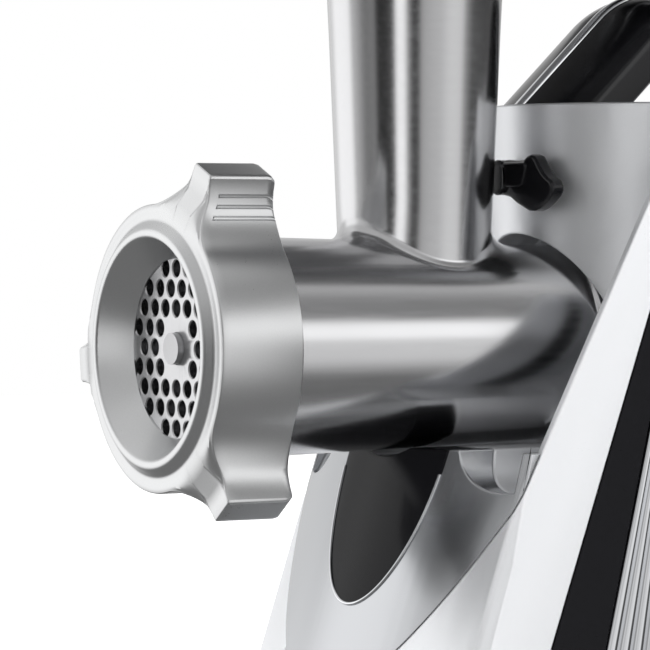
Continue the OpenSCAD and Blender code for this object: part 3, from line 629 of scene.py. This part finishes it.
def build_tray():
    """Shallow pan with a rolled rim, and a spout that sits in the neck."""
    rim = 4
    half_x = tray_high.x - rim
    half_y = (tray_high.y - tray_low.y) / 2 - rim
    top, floor = tray_high.z, NECK_TOP + 2
    corner = 34

    def loop(grow, z):
        return tray_loop((0, TRAY_Y), half_x + grow, half_y + grow, corner + grow, z)

    def round_loop(radius, z):
        return tray_loop((NECK_X, NECK_Y), radius, radius, radius, z)

    throat = [(FEED_R, NECK_TOP - 16), (FEED_R, floor - 2)]
    throat += [(FEED_R + 1, floor + 0.6), (FEED_R + 3, floor + 1.4)]
    rows = [round_loop(radius, z) for radius, z in throat]
    inner = round_loop(FEED_R + 3, 0)
    outer = loop(-16, 0)
    for share in (0.25, 0.5, 0.75):
        rows.append([(a[0] + (b[0] - a[0]) * share, a[1] + (b[1] - a[1]) * share, floor + 1.5 + 0.5 * share)
                     for a, b in zip(inner, outer)])
    inside = ((-12, 2.1), (-8, 2.4), (-4.6, 3.6), (-2.8, 6), (-2.0, 10))
    rows += [loop(grow, floor + rise) for grow, rise in inside]
    rows += [loop(-1.6, top - 3.5), loop(-1.0, top - 1.2)]
    roll = 2.4
    for x, z in arc((1.8, top - roll), roll, 150, -60, 9):
        rows.append(loop(x - 0.6, z))
    rows += [loop(0.9, top - 4.4), loop(0.1, top - 4.2)]
    outside = ((-0.2, 9), (-1.2, 4), (-3.4, 1.2), (-8, 0.2), (-13, 0))
    rows += [loop(grow, floor + rise) for grow, rise in outside]
    spout_r = SPOUT_R - 0.06
    spout = [(NECK_MOUTH_R + 1, floor), (NECK_MOUTH_R, NECK_TOP + 0.4), (spout_r, NECK_TOP + 0.3)]
    spout += [(spout_r, NECK_TOP - 15), (SPOUT_R - 1, NECK_TOP - 16)]
    rows += [round_loop(radius, z) for radius, z in spout]
    return skin("tray_pan", rows, close_rows=True)


def build_pusher():
    """Hollow pusher with a collar that stops it on the tray, grip ribs and a rolled rim."""
    top, foot = pusher_high.z, pusher_low.z
    radius = FEED_R - 0.7
    inner = radius - 3
    seat = NECK_TOP + 4.3
    outline = [(0, foot), (radius - 1, foot), (radius, foot + 1.2), (radius, seat), (radius + 7.6, seat),
               (radius + 8, seat + 1.2), (radius + 7, seat + 2.8), (radius, seat + 3)]
    body = rounded(outline, [0, 0.8, 0.8, 0, 0.3, 0.8, 0.8, 0.8], 3)[1:]
    ribs = []
    for k in range(6):
        z = seat + 8 + 4.6 * k
        ribs += [(radius, z), (radius + 0.55, z + 0.7), (radius + 0.55, z + 1.9), (radius, z + 2.6)]
    rim = [(radius, top - 12), (radius + 5, top - 8), (radius + 5, top - 3), (radius + 2, top)]
    rim += [(radius - 1.5, top), (inner, top - 1.5), (inner, foot + 3.5)]
    rim += [(radius - 6, foot + 3), (0, foot + 3)]
    rim = rounded(rim, [1, 2, 2, 1.5, 0.8, 1, 2, 2, 0], 4, closed=False)
    return lathe("pusher_cup", [(0, foot)] + body + ribs + rim, (NECK_X, NECK_Y), True, 120, 40)


def build_knob():
    """Hub with a stepped block and a fishtail wing."""
    front = knob_low.y
    axis_z = 54
    hub_r, bore_r = 5.75, 4.1
    seat = front + 3
    outline = [(0, front + 0.4), (hub_r - 1.6, front + 0.4), (hub_r - 1.4, front), (hub_r - 0.5, front)]
    outline += [(hub_r, front + 0.7), (hub_r, front + 6.8), (bore_r, front + 6.9)]
    outline += [(bore_r, seat), (0, seat)]
    hub = lathe("lock_wing_knob", outline, (0, axis_z), steps=72)
    above = [(0, 5.2), (4, 5.8), (10, 5.5), (14, 5.7), (16, 6.9), (18, 7.3), (20, 6.7), (21.5, 5.2)]
    tip = [(23, 3.4), (25, 1.4), (27.5, -0.2), (29.6, -1.2), (30.9, -2.8), (31, -4.6), (29.6, -6.4)]
    below = [(26.5, -8.4), (23, -10.2), (20, -11), (17, -11), (14, -10), (10, -8.6), (6, -6.6), (0, -5.4)]
    wing = above + tip + below
    blade = slab("blade", [(x, axis_z + z) for x, z in wing], front + 1.2, front + 6.4, 1.2)
    block = [(3.5, 4.9), (16.5, 4.9), (17.5, 3.4), (15, -2.6), (13.4, -3.2)]
    block += [(4, -3.2), (3.2, -2.2), (3.2, 4.2)]
    step = slab("step", [(x, axis_z + z) for x, z in block], front, seat, 0.9)
    socket = [(0, seat), (bore_r, seat), (bore_r, front + 9), (0, front + 9)]
    cut(blade, lathe("hollow", socket, (0, axis_z), steps=48))
    bpy.ops.object.select_all(action="DESELECT")
    for piece in (blade, step, hub):
        piece.select_set(True)
    bpy.context.view_layer.objects.active = hub
    bpy.ops.object.join()
    return hub


# ---------- body ----------

BODY_FLOOR = rear_low.z
TOP_HALF = 58  # half width of the body at its top
FLARE = 14  # how much wider each side is at the floor
FAN_Y = 20  # where the trims start at the top
BAND_SLOPES = (0.28, 0.16)  # how they lean forward going down
SEAM = 0.3


def half_width(z):
    """Half width of the body at a height."""
    return TOP_HALF + FLARE * (BODY_TOP - z) / (BODY_TOP - BODY_FLOOR)


def build_ridges(side):
    """Fluted bright trim that fans out down the side of the body."""
    ridges, levels = 4, 24
    across = ridges * 8
    top, bottom = ridge_high.z, ridge_low.z
    rows = []
    for k in range(levels + 1):
        z = top + (bottom - top) * k / levels
        first = FAN_Y - BAND_SLOPES[0] * (BODY_TOP - z) + SEAM
        last = FAN_Y - BAND_SLOPES[1] * (BODY_TOP - z) - 2 * SEAM
        deep = min(1.6, 0.13 * (last - first))
        back = side * (half_width(z) - 3)
        row = []
        for j in range(across + 1):
            u = j / across
            swell = abs(math.sin(math.pi * ridges * u)) ** 0.6
            row.append((side * (half_width(z) - deep * (1 - swell)), first + (last - first) * u, z))
        rows.append(row + [(back, last, z), (back, first, z)])
    return skin("ridges_right" if side > 0 else "ridges_left", rows, close_rows=False, caps=True, limit=50)


CHIN_TOP = -32
CHIN_TILT = math.radians(18.5)
BOW_R = 160  # of the chin's face, seen from above
LEAF_X = (leaf_low.x + leaf_high.x) / 2
LEAF_HALF = (leaf_high.x - leaf_low.x) / 2
LEAF_DROP = CHIN_TOP - leaf_low.z
CHIN_FRONT = -68


def chin_y(x, z):
    """Y of the chin's tilted, bowed face."""
    bow = BOW_R - math.sqrt(BOW_R**2 - x**2)
    return CHIN_FRONT + bow / math.cos(CHIN_TILT) + (z - CHIN_TOP) * math.tan(CHIN_TILT)


def build_leaf_rim():
    """Fine bright bead round the lower half of the black inlay, whose black is a painted reflection."""
    bead, steps, sides = 0.55, 90, 10
    start, sweep = 9, 162
    rows = []
    for k in range(steps + 1):
        a = math.radians(start + sweep * k / steps)
        across, down = math.cos(a), math.sin(a)
        x, z = LEAF_X + LEAF_HALF * across, CHIN_TOP - LEAF_DROP * down
        y = chin_y(x, z)
        side = Vector((across / LEAF_HALF, 0, -down / LEAF_DROP)).normalized()
        row = []
        for i in range(sides):
            out, forward = bead * math.cos(TURN * i / sides), bead * math.sin(TURN * i / sides)
            row.append((x + side.x * out, y - 0.1 - forward, z + side.z * out))
        rows.append(row)
    return skin("leaf_rim", rows, close_rows=False, caps=True, limit=60)


HANDLE_FRONT = trim_low.y
HANDLE_BACK = trim_high.y
HANDLE_TOP = trim_high.z
GRIP_T = 14
FOOT_T = 21  # the handle is thicker where its front leg meets the body
FOOT_END = 75  # how far behind the front it is down to the grip's thickness
FOOT_FADE = 30
CREST_DROP = 10  # from the crest strip down to the handle's sides


def handle_path():
    """Side view of the handle's crest: points, each with the direction along the handle there."""
    rise = HANDLE_TOP - BODY_TOP
    corners = [(HANDLE_FRONT, BODY_TOP), (HANDLE_FRONT + rise + 2, HANDLE_TOP)]
    corners += [(HANDLE_BACK, HANDLE_TOP), (HANDLE_BACK, BODY_TOP)]
    path = [Vector(p) for p in rounded(corners, [0, 13, 24, 0], 10, closed=False)]
    out = []
    for i, point in enumerate(path):
        ahead = (path[min(i + 1, len(path) - 1)] - path[max(i - 1, 0)]).normalized()
        out.append((point, ahead))
    return out


def handle_loft(name, section):
    """Sweeps section(depth of the handle), a list of (x, depth below the crest), along the handle."""
    rows = []
    for point, ahead in handle_path():
        outward = Vector((-ahead.y, ahead.x))
        depth = GRIP_T + (FOOT_T - GRIP_T) * smooth((HANDLE_FRONT + FOOT_END - point.x) / FOOT_FADE)
        row = []
        for x, below in section(depth):
            place = point - outward * below
            if place.y < BODY_TOP:
                place += ahead * ((BODY_TOP - place.y) / ahead.y)
            row.append((x, place.x, place.y))
        rows.append(row)
    return skin(name, rows, close_rows=False, caps=True, limit=40)


def mirrored(right):
    """A whole section from its right half, (x, depth) from the crest round to the underside."""
    return right + [(-x, depth) for x, depth in reversed(right)]


def build_handle():
    """Crowned carrying handle with a channel for the crest strip."""
    half = (handle_high.x - handle_low.x) / 2
    channel = 2.6

    def section(depth):
        right = [(channel, 2.1), (channel, 1.05)]
        for a in (9, 16, 24, 34, 44, 55, 66, 78, 88):
            a = math.radians(a)
            right.append((half * math.sin(a), 1 + CREST_DROP * (1 - math.cos(a))))
        right += [(half, CREST_DROP + 2), (half - 0.3, depth - 1.2)]
        right += [(half - 1.4, depth - 0.2), (half - 4, depth)]
        return mirrored(right)

    return handle_loft("carrying_handle", section)


def build_crest():
    """Bright strip let into the handle's crest."""
    half = trim_high.x

    def section(depth):
        return mirrored([(0.3, 0.0), (half - 0.9, 0.12), (half - 0.2, 0.5), (half, 1.1), (half, 2)])

    return handle_loft("handle_crest", section)


install(build_ring(), "ring", "ring", satin_aluminium, "ring")
install(build_barrel(), "barrel", "barrel", polished_steel, "barrel")
install(build_collar(), "body", "socket_collar", chrome, "socket_collar")
install(build_tray(), "tray", "tray", polished_steel, "tray")
install(build_pusher(), "pusher", "pusher", black_satin, "pusher")
install(build_knob(), "lock", "lock_knob", black_gloss, "lock_knob")
install(build_ridges(1), "body", "ridge_trims", chrome, "ridge_trim_right")
install(build_ridges(-1), "body", "ridge_trims", chrome, "ridge_trim_left")
install(build_leaf_rim(), "body", "chin_panel", chrome)
install(build_handle(), "body", "handle", black_gloss, "handle")
install(build_crest(), "body", "handle_trim", chrome, "handle_trim")

install(build_disc(), "disc", "disc", ground_steel, "disc")
install(refined("knife", 0.3), "auger", "knife", ground_steel, "knife")
install(refined("nose_shell", 0.8, 3), "body", "nose_shell", nose_paint, "nose_shell")
install(refined("chin_panel", 0.6, 3), "body", "chin_panel", silver_paint, "chin_panel")
# The leaf inlay is coloured black as a painted reflection of the dark surroundings mirrored in the front.
install(refined("leaf_inlay", 0.5, 3), "body", "leaf_inlay", black_lacquer_and_painted_reflection, "leaf_inlay")
for side in ("left", "right"):
    install(refined("side_panel_" + side, 0.6, 3), "body", "side_panels", panel_paint, "side_panel_" + side)
    install(refined("band_" + side, 0.5, 3), "body", "bands", black_lacquer_and_painted_reflection, "band_" + side)
install(refined("rear_shell", 0.6), "body", "rear_shell", panel_paint, "rear_shell")
install(refined("base_plate", 0.6), "body", "base_plate", black_satin, "base_plate")
install(refined("feet", 0.6), "body", "feet", rubber, "feet")
install(refined("rocker", 0.7, 3), "switch", "switch", black_gloss, "rocker")
install(refined("cord_gland", 0.4), "body", "switch", black_satin, "cord_gland")

# ---------- pieces that keep their CAD shape ----------

FINISHES = {
    nylon: ("barrel_bush", "gear_2", "gear_1"),
    tinned_iron: ("auger",),
    cast_metal: ("gear_case", "gear_cover", "motor_bracket"),
    ground_steel: ("lock_shaft", "base_screws", "cover_screws", "output_gear", "pinion_2", "pinion_1",
                   "rotor_shaft", "motor_bearings"),
    sintered_brass: ("output_bushes", "idler_bushes", "brush_holders"),
    laminations: ("stator_core", "rotor_core"),
    copper_wire: ("stator_coils", "rotor_coils", "commutator"),
    black_satin: ("fan", "switch_body"),
    graphite: ("brushes",),
    board_green: ("control_board",),
}
for finish, names in FINISHES.items():
    for name in names:
        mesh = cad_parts[name].data
        mesh.materials.clear()
        mesh.materials.append(finish)

# ---------- studio ----------

AZIMUTH = 59.81  # of the camera, from the front towards the right
ELEVATION = 1.47
DISTANCE = 1242
FOCAL = 5.7846  # in picture widths
ASIDE = -77.8
ABOVE = 5.5
SENSOR = 36

# brightness round the object at three heights: (degrees from the camera, grey)
LEVEL = ((-175, 0.5), (-150, 0.6), (-130, 0.95), (-102, 0.95), (-92, 0.42), (-70, 0.16), (-58, 0.2),
         (-52, 0.02), (-30, 0.03), (-25, 1.0), (-16, 1.0), (-9, 0.2), (-3, 0.02), (4, 0.04), (9, 0.38),
         (30, 0.45), (50, 0.6), (64, 0.6), (74, 0.18), (84, 0.06), (130, 0.06), (150, 0.3))
BOXES = ((-175, 0.5), (-135, 0.5), (-120, 0.9), (-100, 0.9), (-84, 0.5), (-50, 0.25), (-28, 0.25), (-15, 0.5),
         (5, 0.4), (35, 0.6), (48, 1.0), (95, 1.0), (110, 0.3), (150, 0.2))
UPPER = ((-175, 0.4), (-110, 0.6), (-84, 0.4), (-20, 0.4), (40, 0.35), (60, 0.2), (110, 0.2), (150, 0.25))
TABLE = 0.14  # the grey below them
DOME = 0.5  # and above
FLOOR_R = 3.2  # in metres


def direction(azimuth, elevation):
    """Unit vector from the object, by degrees from the front towards the right and degrees up."""
    a, e = math.radians(azimuth), math.radians(elevation)
    return Vector((math.sin(a) * math.cos(e), -math.cos(a) * math.cos(e), math.sin(e)))


def build_camera():
    """Camera at the photograph's viewing angle."""
    towards = direction(AZIMUTH, ELEVATION)
    a = math.radians(AZIMUTH)
    right = Vector((math.cos(a), math.sin(a), 0))
    up = towards.cross(right)
    data = bpy.data.cameras.new("camera")
    data.sensor_width = SENSOR
    data.lens = FOCAL * SENSOR
    data.clip_end = 50
    camera = bpy.data.objects.new("camera", data)
    bpy.context.scene.collection.objects.link(camera)
    place = AXIS + (towards * DISTANCE + right * ASIDE + up * ABOVE) * MM
    camera.matrix_world = Matrix.Translation(place) @ Matrix((right, up, towards)).transposed().to_4x4()
    bpy.context.scene.camera = camera


def ramp(nodes, stops):
    """A colour ramp of greys from (position, brightness) pairs, eased between them."""
    node = nodes.new("ShaderNodeValToRGB")
    node.color_ramp.interpolation = "EASE"
    marks = node.color_ramp.elements
    while len(marks) > 1:
        marks.remove(marks[-1])
    for i, (position, value) in enumerate(stops):
        mark = marks[0] if i == 0 else marks.new(position)
        mark.position = position
        mark.color = (value, value, value, 1)
    return node


def around(stops):
    """Azimuth stops in degrees from the camera, turned into ramp positions from the front."""
    turned = sorted(((AZIMUTH + a + 180) % 360 / 360, value) for a, value in stops)
    wrap = turned[0][1]
    return [(0, wrap)] + turned + [(1, wrap)]


def build_world():
    """White to the camera, and a studio of soft boxes and dark flags to everything it lights."""
    world = bpy.data.worlds.new("studio")
    bpy.context.scene.world = world
    world.use_nodes = True
    nodes, links = world.node_tree.nodes, world.node_tree.links
    nodes.clear()
    place = nodes.new("ShaderNodeTexCoord")
    split = nodes.new("ShaderNodeSeparateXYZ")
    links.new(place.outputs["Generated"], split.inputs[0])
    flip = nodes.new("ShaderNodeMath")
    flip.operation = "MULTIPLY"
    flip.inputs[1].default_value = -1
    links.new(split.outputs["Y"], flip.inputs[0])
    turn = nodes.new("ShaderNodeMath")
    turn.operation = "ARCTAN2"
    links.new(split.outputs["X"], turn.inputs[0])
    links.new(flip.outputs[0], turn.inputs[1])
    azimuth = nodes.new("ShaderNodeMapRange")
    azimuth.inputs["From Min"].default_value = -math.pi
    azimuth.inputs["From Max"].default_value = math.pi
    links.new(turn.outputs[0], azimuth.inputs["Value"])
    height = nodes.new("ShaderNodeMapRange")
    height.inputs["From Min"].default_value = -1
    height.inputs["From Max"].default_value = 1
    links.new(split.outputs["Z"], height.inputs["Value"])

    def surround(stops):
        node = ramp(nodes, around(stops))
        links.new(azimuth.outputs["Result"], node.inputs["Fac"])
        return node.outputs["Color"]

    def blend(low, high, start, end):
        """Goes from low to high between two elevations; each is a grey or a socket."""
        share = nodes.new("ShaderNodeMapRange")
        share.interpolation_type = "SMOOTHSTEP"
        share.inputs["From Min"].default_value = (math.sin(math.radians(start)) + 1) / 2
        share.inputs["From Max"].default_value = (math.sin(math.radians(end)) + 1) / 2
        links.new(height.outputs["Result"], share.inputs["Value"])
        mix = nodes.new("ShaderNodeMixRGB")
        links.new(share.outputs["Result"], mix.inputs["Fac"])
        for source, target in ((low, mix.inputs["Color1"]), (high, mix.inputs["Color2"])):
            if isinstance(source, float):
                target.default_value = (source, source, source, 1)
            else:
                links.new(source, target)
        return mix.outputs["Color"]

    shown = blend(TABLE, surround(LEVEL), -30, -8)
    shown = blend(shown, surround(BOXES), 4, 11)
    shown = blend(shown, surround(UPPER), 19, 28)
    shown = blend(shown, DOME, 40, 60)
    studio = nodes.new("ShaderNodeBackground")
    studio.inputs["Strength"].default_value = 1.35
    links.new(shown, studio.inputs["Color"])
    white = nodes.new("ShaderNodeBackground")
    white.inputs["Color"].default_value = (1, 1, 1, 1)
    white.inputs["Strength"].default_value = 1.0
    rays = nodes.new("ShaderNodeLightPath")
    pick = nodes.new("ShaderNodeMixShader")
    links.new(rays.outputs["Is Camera Ray"], pick.inputs["Fac"])
    links.new(studio.outputs[0], pick.inputs[1])
    links.new(white.outputs[0], pick.inputs[2])
    out = nodes.new("ShaderNodeOutputWorld")
    links.new(pick.outputs[0], out.inputs["Surface"])


def build_floor():
    """Plain pale floor, kept out of the reflections."""
    floor_paint = surface("floor_paint", (0.93, 0.93, 0.93), rough=0.6, grain=60, mottle=0.01)
    mesh = bpy.data.meshes.new("floor")
    sides = 96
    edge = [(x, y, 0) for x, y in arc((0, 0), FLOOR_R, 0, 360, sides)[:-1]]
    mesh.from_pydata(edge, [], [tuple(range(sides))])
    mesh.materials.append(floor_paint)
    floor = bpy.data.objects.new("floor", mesh)
    bpy.context.scene.collection.objects.link(floor)
    floor.visible_glossy = False
    shader = floor_paint.node_tree.nodes["Principled BSDF"]
    shader.inputs["Emission Color"].default_value = (1, 1, 1, 1)
    shader.inputs["Emission Strength"].default_value = 0.55


def build_lamp(name, azimuth, elevation, distance, size, power):
    """Area light aimed at the head, placed by angles from the front."""
    towards = direction(azimuth, elevation)
    data = bpy.data.lights.new(name, "AREA")
    data.shape = "RECTANGLE"
    data.size, data.size_y = size
    data.energy = power
    lamp = bpy.data.objects.new(name, data)
    bpy.context.scene.collection.objects.link(lamp)
    lamp.location = AXIS + towards * distance
    lamp.rotation_euler = towards.to_track_quat("Z", "Y").to_euler()
    lamp.visible_glossy = False


build_camera()
build_world()
build_floor()
build_lamp("key", AZIMUTH - 75, 42, 1.6, (0.9, 0.9), 26)
build_lamp("fill", AZIMUTH + 60, 25, 1.8, (1.0, 0.8), 14)
build_lamp("top", AZIMUTH, 80, 1.7, (1.6, 1.6), 24)
bpy.context.scene.view_settings.view_transform = "Standard"
